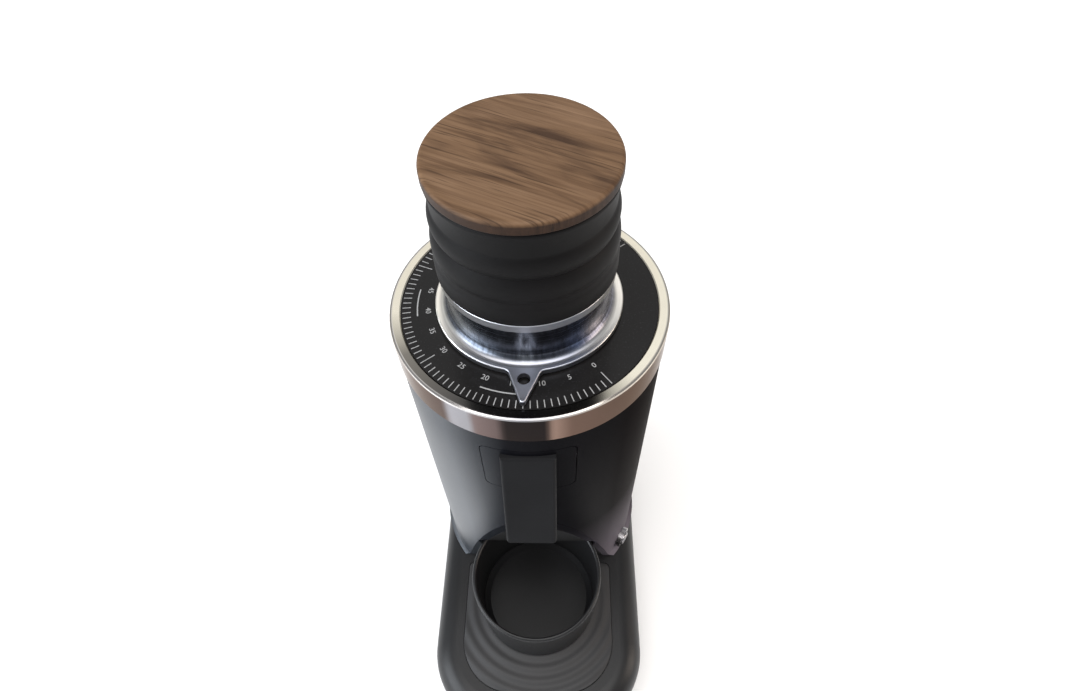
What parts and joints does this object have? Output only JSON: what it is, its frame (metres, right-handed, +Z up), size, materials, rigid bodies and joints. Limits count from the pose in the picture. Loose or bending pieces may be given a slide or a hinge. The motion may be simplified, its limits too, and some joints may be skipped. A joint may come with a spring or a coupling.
{
  "type": "burr coffee grinder",
  "caption": "Electric single-dose flat-burr coffee grinder with a bellows and wooden lid, stepless adjuster dial, outlet chute, dosing cup and push switch.",
  "frame": {"origin": "middle of the footprint, on the surface that the feet stand on", "axes": "+Z up; -Y towards the cup and the user; +X to the right of a user in front"},
  "size_m": [0.114, 0.2, 0.3046],
  "materials": {
    "walnut": "oiled, fine straight grain",
    "silicone": "matt",
    "satin_aluminium": "satin turned",
    "gloss_black": "gloss",
    "chrome": "polished",
    "black_paint": "matt powder coat",
    "black_plastic": "matt",
    "steel": "ground",
    "plate_steel": "zinc plated and painted",
    "foot_rubber": "matt",
    "motor_paint": "satin",
    "stator_iron": "lacquered",
    "board_green": "satin",
    "pin_brass": "plain"
  },
  "bodies": {
    "housing": {"cup_mat": "silicone", "shaft_seal": "silicone", "declumper_flap": "silicone", "thread_ring": "satin_aluminium", "grind_chamber": "satin_aluminium", "dial_plate": "gloss_black", "trim_ring": "chrome", "switch_bezel": "chrome", "body_tube": "black_paint", "base_shell": "black_paint", "chute_cover": "black_paint", "chute_panel": "black_paint", "bay_liner": "black_plastic", "power_inlet": "black_plastic", "switch_body": "black_plastic", "upper_bearing": "steel", "lower_bearing": "steel", "guide_pins": "steel", "thread_ring_screws": "steel", "chamber_screws": "steel", "motor_screws": "steel", "chute_screws": "steel", "tube_screws": "steel", "foot_screws": "steel", "carrier_spring_1": "steel", "carrier_spring_2": "steel", "carrier_spring_3": "steel", "base_plate": "plate_steel", "foot_1": "foot_rubber", "foot_2": "foot_rubber", "foot_3": "foot_rubber", "foot_4": "foot_rubber", "motor_can": "motor_paint", "motor_cap_top": "motor_paint", "motor_cap_bottom": "motor_paint", "stator": "stator_iron", "control_board": "board_green", "inlet_pins": "pin_brass"},
    "burr_carrier": {"upper_carrier": "satin_aluminium", "upper_burr": "steel", "upper_burr_screws": "steel"},
    "adjuster": {"adjuster_collar": "satin_aluminium", "bellows": "silicone"},
    "mouth": {"mouth_ring": "black_plastic"},
    "lid": {"lid_wood": "walnut", "lid_plug": "black_plastic", "lid_screw": "steel"},
    "rotor": {"spindle": "steel", "rotor": "steel", "lower_carrier": "satin_aluminium", "lower_burr": "steel", "lower_burr_screws": "steel", "carrier_nut": "steel", "fan": "black_plastic"},
    "cup": {"dosing_cup": "black_paint"},
    "button": {"switch_button": "chrome"}
  },
  "joints": [
    {"name": "burr_lift", "type": "slide", "parent": "housing", "child": "burr_carrier", "axis": [0, 0, 1], "range_m": [-0.00016, 0.00096], "stiffness_N_per_m": 1500, "springref_m": 0.00262, "deforming": ["carrier_spring_1", "carrier_spring_2", "carrier_spring_3"]},
    {"name": "grind_adjust", "type": "hinge", "parent": "burr_carrier", "child": "adjuster", "pos_m": [0, 0.025, 0.235], "axis": [0, 0, 1], "range_deg": [-231, 39]},
    {"name": "bellows_pump", "type": "slide", "parent": "adjuster", "child": "mouth", "axis": [0, 0, 1], "range_m": [-0.016, 0], "stiffness_N_per_m": 300, "springref_m": 0.003, "deforming": ["bellows"]},
    {"name": "lid_lift", "type": "slide", "parent": "mouth", "child": "lid", "axis": [0, 0, 1], "range_m": [0, 0.05]},
    {"name": "motor_spin", "type": "hinge", "parent": "housing", "child": "rotor", "pos_m": [0, 0.025, 0.12], "axis": [0, 0, 1], "continuous": true},
    {"name": "cup_slide", "type": "slide", "parent": "housing", "child": "cup", "axis": [0, -1, 0], "range_m": [0, 0.06]},
    {"name": "power_button", "type": "slide", "parent": "housing", "child": "button", "axis": [-0.866, 0.5, 0], "range_m": [0, 0.002], "stiffness_N_per_m": 400, "springref_m": -0.001}
  ],
  "couplings": [
    {"joint": "grind_adjust", "follows": "burr_lift", "rad_per_m": -4188.8}
  ]
}
